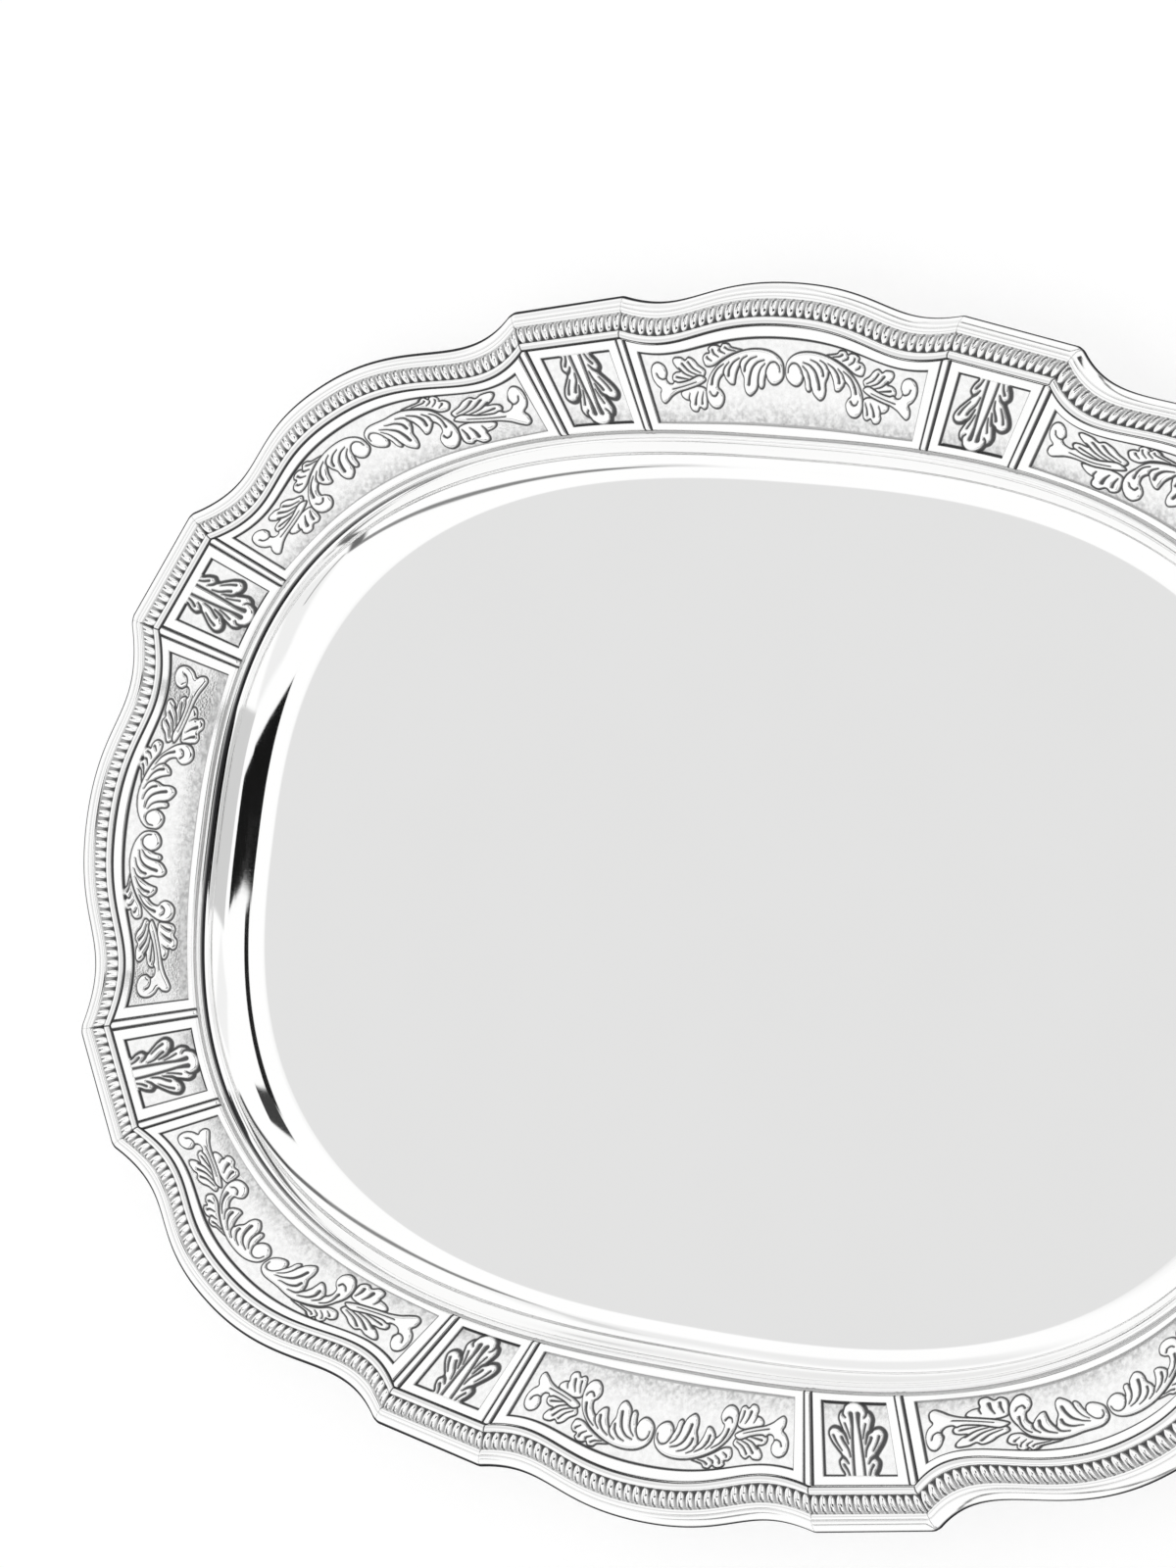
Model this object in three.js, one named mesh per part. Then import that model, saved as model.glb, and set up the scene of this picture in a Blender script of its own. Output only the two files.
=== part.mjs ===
// Oval serving tray in polished silver. A pressed pan carries a border that is built up
// from struck panels, with cast gadroon mounts round the edge, ribs and a bead over the
// seams, and a wire under the lip that ties the mounts together. Everything is soldered,
// so nothing moves.
//
// Millimetres. +X runs along the length, +Y to the back edge and +Z up. The origin is the
// middle of the underside of the floor.

import * as THREE from "three";

// Rings seen from above: superellipses with a half length, a half width and an exponent.
const floorRing = { a: 174.8, b: 117.7, n: 2.61 }; // edge of the flat floor
const shoulderRing = { a: 191.5, b: 128.7, n: 2.66 }; // inner edge of the border panels
const seamRing = { a: 221, b: 154.4, n: 2.37 }; // corners of the seam inside the mounts
const rimRing = { a: 234.8, b: 166.8, n: 2.34 }; // the sixteen corners of the outline

// Where the ribs lie in each quarter, as angles from +X: at the seam and at the outline.
const seamAngles = [15.4, 23.7, 58.6, 69.9];
const rimAngles = [15.1, 24.2, 58.4, 70.6];

// The outline and the seam are straight along a leaf panel. Along a scroll panel they are
// ogees, which dip in from each corner and then bulge out. Each ogee is two cubic curves
// that meet at the bulge. A handle reaches along the line between the corners, by a share
// of its length, and pulls the curve in below that line.
const endHandle = { along: 0.233, in: 9.8, flat: 0.269 };
const sideHandle = { along: 0.205, in: 4.5, flat: 0.271 };
const ogees = {
  end: { bulge: 7.8, apex: 0.5, first: endHandle, last: endHandle },
  corner: {
    bulge: 12.6,
    apex: 0.463,
    first: { along: 0.247, in: 5, flat: 0.266 },
    last: { along: 0.161, in: 9.5, flat: 0.262 },
  },
  side: { bulge: 6.4, apex: 0.5, first: sideHandle, last: sideHandle },
};

// Widths going in from the outline, on a section through the tray.
const mountWidth = 12; // cast mount: lip, gadroon and bead
const panelWidth = 30; // struck panel
const wallWidth = 14; // well wall, from the panels to the flat floor
const panelEdge = mountWidth + panelWidth;
const floorEdge = panelEdge + wallWidth;
const centre = floorEdge + floorRing.a;

// Heights above the table.
const sheet = 1.2; // thickness of the pan
const panelOuterTop = 20; // top of a panel at the mount
const panelInnerTop = 13.2; // and at the well
const panelBack = 1.6; // from a panel's top face to its back
const frameWidth = 3; // plain frame round each panel's sunk ground, on its long sides
const frameEnd = 3.7; // and at its ends
const groundDepth = 0.8; // how far the ground is sunk below the frame
const groundBevel = 0.3; // width of the step from frame to ground
const ribRise = 0.5; // how far a rib stands above the frames
const ribWidth = 3.4; // at the mount; ribs narrow towards the well
const wireRadius = 0.8; // wire under the lip
const gap = 0.3; // solder gap between a piece and what it lies on
const endGap = 0.1; // solder gap at each end of a piece

const scrollSteps = 10; // facets along a scroll panel
const leafSteps = 2; // and along a leaf panel

const radians = THREE.MathUtils.degToRad;

// The distance from the centre to a ring, in the direction of an angle.
function ringRadius(ring, angle) {
  const x = Math.abs(Math.cos(angle)) / ring.a;
  const y = Math.abs(Math.sin(angle)) / ring.b;
  return Math.pow(Math.pow(x, ring.n) + Math.pow(y, ring.n), -1 / ring.n);
}

// All sixteen corners of a ring, anticlockwise from the first one past +X.
function cornersOf(ring, angles) {
  const quarter = angles.map(radians);
  const half = [...quarter, ...quarter.map((angle) => Math.PI - angle).reverse()];
  const all = [...half, ...half.map((angle) => angle + Math.PI)];
  return all.map((angle) => {
    const radius = ringRadius(ring, angle);
    return new THREE.Vector2(radius * Math.cos(angle), radius * Math.sin(angle));
  });
}

// An ogee from one corner to the next, as a curve.
function ogeeCurve(from, to, ogee) {
  const along = to.clone().sub(from);
  const out = new THREE.Vector2(along.y, -along.x).normalize();
  const point = (share, height) =>
    from.clone().addScaledVector(along, share).addScaledVector(out, height);
  const { bulge, apex, first, last } = ogee;
  const top = point(apex, bulge);
  const firstDip = point(first.along, -first.in);
  const lastDip = point(1 - last.along, -last.in);
  const curve = new THREE.CurvePath();
  curve.add(
    new THREE.CubicBezierCurve(from, firstDip, point(apex - first.flat, bulge), top),
  );
  curve.add(new THREE.CubicBezierCurve(top, point(apex + last.flat, bulge), lastDip, to));
  return curve;
}

const turnedRound = (ogee) => ({
  bulge: ogee.bulge,
  apex: 1 - ogee.apex,
  first: ogee.last,
  last: ogee.first,
});

// The sixteen bays between the ribs, in order round the tray. Each has its stretches of
// the outline and the seam, and says whether it holds a scroll panel or a leaf panel.
function makeBays() {
  const kinds = ["corner", "side", "turned", "end"];
  const rim = cornersOf(rimRing, rimAngles);
  const seam = cornersOf(seamRing, seamAngles);
  return rim.map((_, i) => {
    const next = (i + 1) % rim.length;
    const scroll = i % 2 === 1;
    const kind = kinds[((i - 1) / 2) % kinds.length];
    const ogee = kind === "turned" ? turnedRound(ogees.corner) : ogees[kind];
    const curve = (corners) =>
      scroll
        ? ogeeCurve(corners[i], corners[next], ogee)
        : new THREE.LineCurve(corners[i], corners[next]);
    return { scroll, rim: curve(rim), seam: curve(seam) };
  });
}

const bays = makeBays();

// A station is a line across the border. It runs from the outline to the seam, at the
// same share of both, and from there towards the centre.
function station(index, share) {
  const rim = bays[index].rim.getPoint(share);
  const seam = bays[index].seam.getPoint(share);
  const angle = Math.atan2(seam.y, seam.x);
  const on = (ring) => seam.clone().setLength(ringRadius(ring, angle));
  return { rim, seam, shoulder: on(shoulderRing), floor: on(floorRing) };
}

// The point on a station at a distance in from the outline and a height.
function pointAt(place, distance, height) {
  const { rim, seam, shoulder, floor } = place;
  const point = new THREE.Vector2();
  if (distance <= mountWidth) {
    point.lerpVectors(rim, seam, distance / mountWidth);
  } else if (distance <= panelEdge) {
    point.lerpVectors(seam, shoulder, (distance - mountWidth) / panelWidth);
  } else if (distance <= floorEdge) {
    point.lerpVectors(shoulder, floor, (distance - panelEdge) / wallWidth);
  } else {
    point.copy(floor).multiplyScalar(1 - (distance - floorEdge) / floorRing.a);
  }
  return new THREE.Vector3(point.x, point.y, height);
}

// Top face of the panels' frames, at a distance in from the outline.
function panelTop(distance) {
  const share = THREE.MathUtils.clamp((distance - mountWidth) / panelWidth, 0, 1);
  return THREE.MathUtils.lerp(panelOuterTop, panelInnerTop, share);
}

const onSection = (points) => points.map(([x, y]) => new THREE.Vector2(x, y));

// A length of border: a section, given as distance in and height, swept from station to
// station. Where sunk says so, a section point drops below its height.
function sweep(section, stations, sunk = () => 0) {
  const steps = stations.length - 1;
  const shape = new THREE.Shape(onSection(section));
  const geometry = new THREE.ExtrudeGeometry(shape, {
    depth: 1,
    steps,
    bevelEnabled: false,
  });
  const position = geometry.getAttribute("position");
  for (let i = 0; i < position.count; i++) {
    const step = Math.round(position.getZ(i) * steps);
    const distance = position.getX(i);
    const height = position.getY(i) - sunk(step, distance, position.getY(i));
    position.setXYZ(i, ...pointAt(stations[step], distance, height));
  }
  geometry.computeVertexNormals();
  return geometry;
}

// Where a bay's stations lie, as shares of its length: the three at each end are the
// panel's end, the end of its frame and the edge of its ground.
function sharesAlong(index) {
  const length = bays[index].rim.getLength();
  const margin = ribWidth / 2 + endGap;
  const ends = [margin, margin + frameEnd, margin + frameEnd + groundBevel];
  const near = ends.map((distance) => distance / length);
  const far = near.map((share) => 1 - share).reverse();
  const steps = bays[index].scroll ? scrollSteps : leafSteps;
  const between = Array.from({ length: steps - 1 }, (_, i) =>
    THREE.MathUtils.lerp(near[2], far[0], (i + 1) / steps),
  );
  return [...near, ...between, ...far];
}

const stationsAt = (index, shares) => shares.map((share) => station(index, share));

// A piece that goes all the way round: a section, turned as a lathe turns it and then
// stretched from a circle to the tray's outline.
function ringAround(section) {
  const stations = bays.flatMap((_, index) => {
    const shares = sharesAlong(index);
    const frameEnds = [1, 2, shares.length - 3, shares.length - 2];
    const ringShares = shares.filter((_, i) => !frameEnds.includes(i));
    return stationsAt(index, [0, ...ringShares]);
  });
  const profile = section.map(([x, y]) => new THREE.Vector2(centre - x, y));
  const geometry = new THREE.LatheGeometry(profile, stations.length);
  const position = geometry.getAttribute("position");
  for (let i = 0; i < position.count; i++) {
    const place = stations[Math.floor(i / profile.length) % stations.length];
    const [distance, height] = section[i % profile.length];
    position.setXYZ(i, ...pointAt(place, distance, height));
  }
  geometry.computeVertexNormals();
  return geometry;
}

// Floor, wall and the flange under the border, pressed from one sheet.
function wellPan() {
  const steepest = radians(75);
  const reach = (wallWidth - 3) / Math.sin(steepest);
  const flangeTop = 10.6;
  const flangeRise = 0.6;
  const flangeEdge = panelEdge - 4;
  const rise = (flangeTop - sheet) / (1 - Math.cos(steepest));
  const wall = (extra, steps) =>
    Array.from({ length: steps + 1 }, (_, i) => {
      const turn = (steepest * i) / steps;
      const distance = floorEdge - (reach + extra) * Math.sin(turn);
      return [distance, sheet + rise - (rise + extra) * Math.cos(turn)];
    });
  const wallSteps = 5;
  return ringAround([
    [centre, 0],
    ...wall(sheet, wallSteps),
    [flangeEdge, flangeTop + flangeRise - sheet],
    [flangeEdge, flangeTop + flangeRise],
    ...wall(0, wallSteps).reverse(),
    [centre, sheet],
  ]);
}

// Half-round bead over the panels' inner edges.
function wellBead() {
  const inner = panelEdge + 2.6;
  const outer = panelEdge + gap;
  const base = 11.4;
  const top = panelInnerTop + 0.6;
  return ringAround([
    [inner, base],
    [outer, base],
    [outer, top - 0.6],
    [outer + 0.6, top],
    [inner - 0.6, top],
    [inner, top - 0.6],
    [inner, base],
  ]);
}

// Drawn wire under the lip.
function rimWire() {
  const sides = 6;
  const middle = { distance: 2.2, height: 15.7 };
  return ringAround(
    Array.from({ length: sides + 1 }, (_, i) => {
      const turn = (-2 * Math.PI * (i % sides)) / sides;
      return [
        middle.distance + wireRadius * Math.cos(turn),
        middle.height + wireRadius * Math.sin(turn),
      ];
    }),
  );
}

// Cast mount: lip, gadroon band and bead, with a tongue that goes under the panel.
function mount(index) {
  const tongueTop = panelTop(mountWidth) - panelBack - gap;
  const tongueEnd = mountWidth + 2.5;
  const section = [
    [0, 16.8],
    [0, 17.5],
    [1.2, 18.6],
    [3, 19.3],
    [4.8, 19.2],
    [5.4, 18.8],
    [6.2, 20],
    [7.7, 20.6],
    [9.2, 20.1],
    [9.8, 19.6],
    [10.5, 20.5],
    [mountWidth - endGap, 20.4],
    [mountWidth - endGap, tongueTop],
    [tongueEnd, tongueTop - 0.8],
    [tongueEnd, tongueTop - 1.5],
    [mountWidth, 16.9],
    [4, 16.9],
  ];
  const end = endGap / bays[index].rim.getLength();
  const shares = [end, ...sharesAlong(index), 1 - end];
  return sweep(section, stationsAt(index, shares));
}

// Struck panel: a plain frame round a sunk ground.
function panel(index) {
  const outer = mountWidth + endGap;
  const inner = panelEdge - endGap;
  const groundFrom = mountWidth + frameWidth;
  const groundTo = panelEdge - frameWidth;
  const inGround = [0, 0.33, 0.67, 1].map((share) =>
    THREE.MathUtils.lerp(groundFrom + groundBevel, groundTo - groundBevel, share),
  );
  const top = [outer, groundFrom, ...inGround, groundTo, inner];
  const back = [inner, 0.5 * (inner + outer), outer];
  const section = [
    ...top.map((distance) => [distance, panelTop(distance)]),
    ...back.map((distance) => [distance, panelTop(distance) - panelBack]),
  ];

  const shares = sharesAlong(index);
  const sunk = (step, distance, height) => {
    const overGround = distance > groundFrom + 0.1 && distance < groundTo - 0.1;
    const onTop = height > panelTop(distance) - 0.1;
    const betweenEnds = step > 1 && step < shares.length - 2;
    return overGround && onTop && betweenEnds ? groundDepth : 0;
  };
  return sweep(section, stationsAt(index, shares), sunk);
}

// Rib over the seam between two panels. It starts at a corner of the mounts' seam, and
// its sides, like the panels' ends, run towards the centre.
function rib(index) {
  const before = (index + bays.length - 1) % bays.length;
  const reach = (bay) => ribWidth / 2 / bays[bay].rim.getLength();
  const stations = [
    station(before, 1 - reach(before)),
    station(index, 0),
    station(index, reach(index)),
  ];
  const outer = mountWidth + endGap;
  const inner = panelEdge;
  const along = [0, 1 / 3, 2 / 3, 1].map((share) =>
    THREE.MathUtils.lerp(outer, inner, share),
  );
  const section = [
    ...along.map((distance) => [distance, panelTop(distance) + ribRise]),
    ...along.reverse().map((distance) => [distance, panelTop(distance) - panelBack]),
  ];
  return sweep(section, stations);
}

const polished = new THREE.MeshStandardMaterial({
  color: 0xf0f0f2,
  roughness: 0.08,
  metalness: 1,
});
const struck = new THREE.MeshStandardMaterial({
  color: 0xe8e8ea,
  roughness: 0.25,
  metalness: 1,
});
const cast = new THREE.MeshStandardMaterial({
  color: 0xececee,
  roughness: 0.15,
  metalness: 1,
});

const tray = new THREE.Group();

function add(name, geometry, material) {
  const mesh = new THREE.Mesh(geometry, material);
  mesh.name = name;
  tray.add(mesh);
}

add("well_pan", wellPan(), polished);
add("well_bead", wellBead(), polished);
add("rim_wire", rimWire(), polished);
bays.forEach((bay, index) => {
  const number = Math.floor(index / 2) + 1;
  const kind = bay.scroll ? "scroll" : "leaf";
  add(`${kind}_panel_${number}`, panel(index), struck);
  add(`${kind}_mount_${number}`, mount(index), cast);
  add(`divider_rib_${index + 1}`, rib(index), polished);
});

export default tray;
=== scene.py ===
import math

import bpy
import numpy as np
from mathutils import Matrix, Vector


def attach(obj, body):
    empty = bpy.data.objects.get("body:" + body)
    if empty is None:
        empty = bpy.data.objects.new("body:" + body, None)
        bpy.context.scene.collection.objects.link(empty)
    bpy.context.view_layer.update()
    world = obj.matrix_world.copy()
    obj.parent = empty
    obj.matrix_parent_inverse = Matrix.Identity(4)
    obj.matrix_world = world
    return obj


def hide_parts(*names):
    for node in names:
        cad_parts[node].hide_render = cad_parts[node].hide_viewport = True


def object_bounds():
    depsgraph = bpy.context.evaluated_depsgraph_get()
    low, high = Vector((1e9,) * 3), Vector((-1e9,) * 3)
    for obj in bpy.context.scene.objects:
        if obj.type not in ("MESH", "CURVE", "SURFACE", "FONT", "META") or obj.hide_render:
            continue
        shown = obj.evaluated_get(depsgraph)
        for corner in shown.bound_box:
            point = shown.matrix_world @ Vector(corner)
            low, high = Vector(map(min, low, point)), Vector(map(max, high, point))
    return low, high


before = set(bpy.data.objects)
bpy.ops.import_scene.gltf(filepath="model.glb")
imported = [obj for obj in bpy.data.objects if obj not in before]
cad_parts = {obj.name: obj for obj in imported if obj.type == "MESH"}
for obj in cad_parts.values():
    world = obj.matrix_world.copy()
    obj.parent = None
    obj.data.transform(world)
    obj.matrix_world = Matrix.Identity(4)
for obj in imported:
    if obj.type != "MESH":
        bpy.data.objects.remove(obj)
CAD_LOW, CAD_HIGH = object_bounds()

MM = 0.001

# ---------------------------------------------------------------- the border's plan
# The same rings, ogees and widths as the CAD model, in millimetres. A place on the
# border is a bay, a share of the way along it, and a distance in from the outline.

# Each ring is a superellipse: its half length, half width and power. The seam is the
# line between the mounts and the panels, and the shoulder is the panels' inner edge.
FLOOR_RING = (174.8, 117.7, 2.61)
SHOULDER_RING = (191.5, 128.7, 2.66)
SEAM_RING = (221.0, 154.4, 2.37)
RIM_RING = (234.8, 166.8, 2.34)
# The corners in one quarter, in degrees. All the corners part the border into bays.
SEAM_ANGLES = (15.4, 23.7, 58.6, 69.9)
RIM_ANGLES = (15.1, 24.2, 58.4, 70.6)
BAY_COUNT = 4 * len(RIM_ANGLES)

# Each ogee: how far it bulges, its apex as a share of the way along, and at either end
# the curve's handle at the corner (share, depth) and its handle at the apex (share).
END_HANDLE = (0.233, 9.8, 0.269)
SIDE_HANDLE = (0.205, 4.5, 0.271)
OGEES = {
    "end": (7.8, 0.5, END_HANDLE, END_HANDLE),
    "corner": (12.6, 0.463, (0.247, 5.0, 0.266), (0.161, 9.5, 0.262)),
    "side": (6.4, 0.5, SIDE_HANDLE, SIDE_HANDLE),
}
OGEES["turned"] = (12.6, 1 - 0.463, OGEES["corner"][3], OGEES["corner"][2])
OGEE_STEPS = 700

# Widths of the border's three parts, and the distances in where each one ends.
MOUNT = 12.0
PANEL = 30.0
WALL = 14.0
PANEL_EDGE = MOUNT + PANEL
FLOOR_EDGE = PANEL_EDGE + WALL
CENTRE = FLOOR_EDGE + FLOOR_RING[0]

# Thicknesses, the heights of the panels' slope, and widths on the panels.
SHEET = 1.2
PANEL_OUTER_TOP = 20.0
PANEL_INNER_TOP = 13.2
PANEL_BACK = 1.6
FRAME_WIDTH = 3.0
FRAME_END = 3.7
RIB_WIDTH = 3.4
END_GAP = 0.1


def mix(first, second, share):
    """From first, at a share of nothing, to second, at a share of one."""
    return first + (second - first) * share


def smooth(start, end, value):
    """Nothing at start, rising softly to one at end, which may be the smaller of the two."""
    t = np.clip((value - start) / (end - start), 0, 1)
    return t * t * (3 - 2 * t)


def ring_radius(ring, angle):
    """How far a ring is from the middle of the tray, at each angle."""
    x = np.abs(np.cos(angle)) / ring[0]
    y = np.abs(np.sin(angle)) / ring[1]
    return (x ** ring[2] + y ** ring[2]) ** (-1 / ring[2])


def corners_of(ring, angles):
    """The 16 corners on a ring, from those of one quarter."""
    quarter = [math.radians(a) for a in angles]
    half = quarter + [math.pi - a for a in reversed(quarter)]
    around = np.array(half + [a + math.pi for a in half])
    return np.stack([np.cos(around), np.sin(around)], 1) * ring_radius(ring, around)[:, None]


class Curve:
    """A line through points, read by its share of the way along."""

    def __init__(self, points):
        self.points = np.asarray(points, float)
        steps = np.hypot(*np.diff(self.points, axis=0).T)
        self.along = np.concatenate([[0], np.cumsum(steps)])
        self.length = self.along[-1]

    def at(self, share):
        place = np.asarray(share, float) * self.length
        return np.stack([np.interp(place, self.along, self.points[:, k]) for k in (0, 1)], -1)


def bezier(p, t):
    """Points on the cubic curve with four control points, at each t."""
    t = t[:, None]
    return (
        (1 - t) ** 3 * p[0]
        + 3 * (1 - t) ** 2 * t * p[1]
        + 3 * (1 - t) * t**2 * p[2]
        + t**3 * p[3]
    )


def ogee_curve(start, end, ogee):
    """A long side of the outline, which dips at both ends and bulges out at its apex."""
    bulge, apex, first, last = ogee
    along = end - start
    out = np.array([along[1], -along[0]]) / np.hypot(*along)

    def point(share, height):
        return start + along * share + out * height

    top = point(apex, bulge)
    t = np.linspace(0, 1, OGEE_STEPS)
    rise = [start, point(first[0], -first[1]), point(apex - first[2], bulge), top]
    fall = [top, point(apex + last[2], bulge), point(1 - last[0], -last[1]), end]
    return Curve(np.vstack([bezier(rise, t), bezier(fall, t)[1:]]))


class Bay:
    """The border between two ribs: a scroll panel's or a leaf panel's stretch."""

    kinds = ("corner", "side", "turned", "end")

    def __init__(self, index, rim, seam):
        after = (index + 1) % BAY_COUNT
        self.index = index
        self.scroll = index % 2 == 1
        self.kind = self.kinds[(index - 1) // 2 % 4] if self.scroll else "leaf"
        if self.scroll:
            self.rim = ogee_curve(rim[index], rim[after], OGEES[self.kind])
            self.seam = ogee_curve(seam[index], seam[after], OGEES[self.kind])
            self.apex = OGEES[self.kind][1]
        else:
            self.rim = Curve([rim[index], rim[after]])
            self.seam = Curve([seam[index], seam[after]])
            self.apex = 0.5
        self.length = self.rim.length

    def plan(self, share, distance):
        """The point seen from above at each share along and each distance in."""
        rim, seam = self.rim.at(share), self.seam.at(share)
        angle = np.arctan2(seam[..., 1], seam[..., 0])
        reach = np.hypot(seam[..., 0], seam[..., 1])
        shoulder = seam * (ring_radius(SHOULDER_RING, angle) / reach)[..., None]
        floor = seam * (ring_radius(FLOOR_RING, angle) / reach)[..., None]
        d = np.asarray(distance, float)[..., None]
        return np.select(
            [d <= MOUNT, d <= PANEL_EDGE, d <= FLOOR_EDGE],
            [
                mix(rim, seam, d / MOUNT),
                mix(seam, shoulder, (d - MOUNT) / PANEL),
                mix(shoulder, floor, (d - PANEL_EDGE) / WALL),
            ],
            floor * (1 - (d - FLOOR_EDGE) / FLOOR_RING[0]),
        )


RIM = corners_of(RIM_RING, RIM_ANGLES)
SEAM = corners_of(SEAM_RING, SEAM_ANGLES)
BAYS = [Bay(i, RIM, SEAM) for i in range(BAY_COUNT)]


def panel_top(distance):
    """The height of the panels' slope at each distance in."""
    share = np.clip((np.asarray(distance) - MOUNT) / PANEL, 0, 1)
    return mix(PANEL_OUTER_TOP, PANEL_INNER_TOP, share)


# ---------------------------------------------------------------- relief drawing
def spline(points, closed=False, step=0.1):
    """A smooth line through points, at about one point each step millimetres."""
    p = np.asarray(points, float)
    if closed:
        p = np.vstack([p[-1], p, p[0], p[1]])
    else:
        p = np.vstack([2 * p[0] - p[1], p, 2 * p[-1] - p[-2]])
    out = []
    for a, b, c, d in zip(p[:-3], p[1:-2], p[2:-1], p[3:]):
        n = max(2, int(np.hypot(*(c - b)) / step))
        t = np.linspace(0, 1, n, endpoint=False)[:, None]
        out.append(
            0.5
            * (
                2 * b
                + (c - a) * t
                + (2 * a - 5 * b + 4 * c - d) * t**2
                + (3 * b - a - 3 * c + d) * t**3
            )
        )
    return np.vstack(out + ([] if closed else [p[-2:-1]]))


class Relief:
    """A drawing in relief: raised shapes and cut lines, on a fine grid."""

    cell = 0.1
    reach = 2.0

    def __init__(self, low, high):
        self.low, self.high = np.array(low, float), np.array(high, float)
        size = np.ceil((self.high - self.low) / self.cell).astype(int) + 1
        self.u = self.low[0] + np.arange(size[0]) * self.cell
        self.v = self.low[1] + np.arange(size[1]) * self.cell
        self.height = np.zeros(size)
        self.cut = np.full(size, self.reach)
        self.inside = np.zeros(size, bool)

    def distance_to(self, points, radii):
        """How far each cell is from a line of varying half-width."""
        field = np.full(self.height.shape, self.reach)
        span = int(self.reach / self.cell) + 1
        for (pu, pv), r in zip(points, radii):
            i = int(round((pu - self.low[0]) / self.cell))
            j = int(round((pv - self.low[1]) / self.cell))
            a, b = max(0, i - span), max(0, j - span)
            us, vs = self.u[a : i + span + 1], self.v[b : j + span + 1]
            if i + span < 0 or j + span < 0 or not len(us) or not len(vs):
                continue
            near = np.hypot(us[:, None] - pu, vs[None, :] - pv) - r
            part = field[a : a + len(us), b : b + len(vs)]
            np.minimum(part, near, out=part)
        return field

    def fill(self, points):
        """Which cells lie inside a closed line."""
        inside = np.zeros(self.height.shape, bool)
        ends = np.roll(points, -1, axis=0)
        v = self.v[None, :]
        u = self.u[:, None]
        for (u0, v0), (u1, v1) in zip(points, ends):
            if v0 == v1:
                continue
            spans = (v0 > v) != (v1 > v)
            inside ^= spans & (u < (u1 - u0) * (v - v0) / (v1 - v0) + u0)
        return inside

    def shape(self, points, rise, round_off=1.1, line=0.16):
        """Raises a rounded shape and cuts a line round it."""
        edge = spline(points, closed=True)
        inside = self.fill(edge)
        away = self.distance_to(edge, np.zeros(len(edge)))
        t = np.clip(away / round_off, 0, 1)
        pillow = rise * np.sqrt(1 - (1 - t) ** 2)
        self.height = np.where(inside, pillow, self.height)
        self.cut = np.where(inside, self.reach, self.cut)
        self.cut = np.minimum(self.cut, away - line)
        self.inside |= inside

    def groove(self, points, start, end):
        """Cuts a line that widens from half-width start to half-width end."""
        path = spline(points)
        radii = np.linspace(start, end, len(path))
        self.cut = np.minimum(self.cut, self.distance_to(path, radii))

    def read(self, u, v):
        """The height, the distance to the nearest cut line, and one inside a shape."""
        x = np.clip((u - self.low[0]) / self.cell, 0, len(self.u) - 1.001)
        y = np.clip((v - self.low[1]) / self.cell, 0, len(self.v) - 1.001)
        i, j = x.astype(int), y.astype(int)
        fx, fy = x - i, y - j

        def sample(a):
            return (
                a[i, j] * (1 - fx) * (1 - fy)
                + a[i + 1, j] * fx * (1 - fy)
                + a[i, j + 1] * (1 - fx) * fy
                + a[i + 1, j + 1] * fx * fy
            )

        return sample(self.height), sample(self.cut), sample(self.inside.astype(float))


# Half of a scroll panel's ornament: how far from the middle of the panel, and the
# distance in from the outline. A groove has its points and its half-width at each end.
BRANCH = [
    (29.3, 25.6), (32.0, 26.9), (37.0, 27.9), (41.0, 28.6), (44.0, 29.9), (46.3, 31.6),
    (48.2, 32.6), (49.3, 31.5), (49.0, 29.3), (48.1, 27.6), (49.5, 26.2), (50.4, 24.0),
    (50.1, 21.2), (48.7, 19.1), (46.4, 18.2), (44.4, 19.4), (44.0, 21.8), (44.9, 23.8),
    (44.3, 25.4), (42.8, 25.7), (41.6, 24.9), (40.0, 25.4), (36.0, 25.0), (31.5, 24.0),
]
SPRAY = [
    (29.0, 22.8), (31.2, 20.8), (32.6, 18.8), (34.4, 17.6), (35.9, 18.3), (37.4, 17.2),
    (39.8, 17.0), (40.6, 18.4), (39.8, 20.3), (38.6, 21.7), (40.3, 21.9), (41.8, 22.7),
    (42.3, 24.4), (41.0, 25.9), (36.0, 26.0), (31.5, 25.4), (29.9, 24.6),
]
TUFT = [
    (14.8, 18.6), (16.8, 17.9), (18.5, 17.3), (19.5, 16.2), (21.2, 15.8), (22.3, 16.7),
    (23.5, 15.9), (25.3, 15.7), (26.5, 16.5), (26.3, 17.7), (27.7, 17.7), (28.9, 18.6),
    (29.0, 20.1), (28.2, 21.6), (25.5, 21.8), (22.0, 20.4), (18.0, 19.2),
]
LEAFLET = [
    (30.0, 30.6), (30.3, 32.6), (30.9, 34.3), (32.3, 34.9), (33.8, 34.2), (35.3, 35.5),
    (37.2, 35.1), (37.9, 33.5), (37.5, 31.9), (39.2, 31.2), (40.3, 29.9), (39.6, 28.4),
    (34.0, 27.2), (30.2, 28.2),
]
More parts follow.
